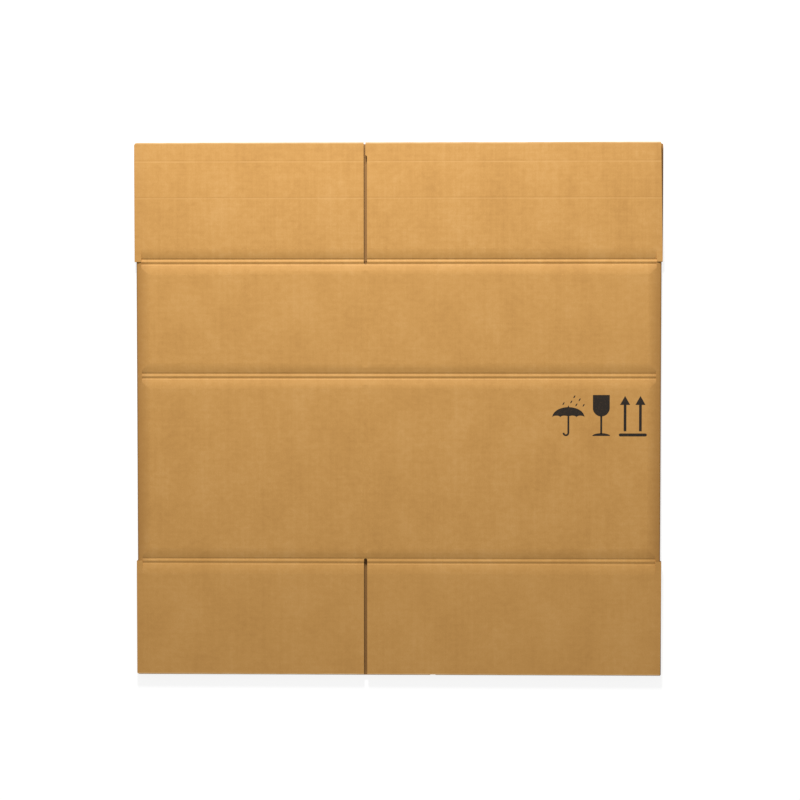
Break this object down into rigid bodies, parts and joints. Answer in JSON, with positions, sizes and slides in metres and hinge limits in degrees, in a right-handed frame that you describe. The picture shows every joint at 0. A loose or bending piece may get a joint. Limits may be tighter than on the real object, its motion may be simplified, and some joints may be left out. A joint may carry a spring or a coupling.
{
  "type": "flattened cardboard box",
  "caption": "Knocked-down slotted corrugated box lying flat: a folded and glued tube with hinged front flaps, an extra level score and printed handling marks.",
  "frame": {"origin": "centre of the bounding box's underside, on the floor that the box lies on", "axes": "+X across the front face to the right, from the narrow panel to the wide one; +Y up the face, towards the top flaps; +Z out of the front face"},
  "size_m": [0.804, 0.814, 0.0112],
  "materials": {
    "kraft_board": "uncoated brown kraft liner, matt with a faint sheen",
    "printing_ink": "dark brown water-based printing ink, matt"
  },
  "bodies": {
    "tube": {"box_tube": "kraft_board"},
    "top_left": {"top_left_flap": "kraft_board"},
    "top_right": {"top_right_flap": "kraft_board"},
    "bottom_left": {"bottom_left_flap": "kraft_board"},
    "bottom_right": {"bottom_right_flap": "kraft_board"}
  },
  "joints": [
    {"name": "top_left_score", "type": "hinge", "parent": "tube", "child": "top_left", "pos_m": [-0.2265, 0.226, 0.01135], "axis": [1, 0, 0], "range_deg": [0, 178]},
    {"name": "top_right_score", "type": "hinge", "parent": "tube", "child": "top_right", "pos_m": [0.17675, 0.226, 0.01135], "axis": [1, 0, 0], "range_deg": [0, 178]},
    {"name": "bottom_left_score", "type": "hinge", "parent": "tube", "child": "bottom_left", "pos_m": [-0.2265, -0.231, 0.01135], "axis": [-1, 0, 0], "range_deg": [0, 178]},
    {"name": "bottom_right_score", "type": "hinge", "parent": "tube", "child": "bottom_right", "pos_m": [0.17675, -0.231, 0.01135], "axis": [-1, 0, 0], "range_deg": [0, 178]}
  ]
}
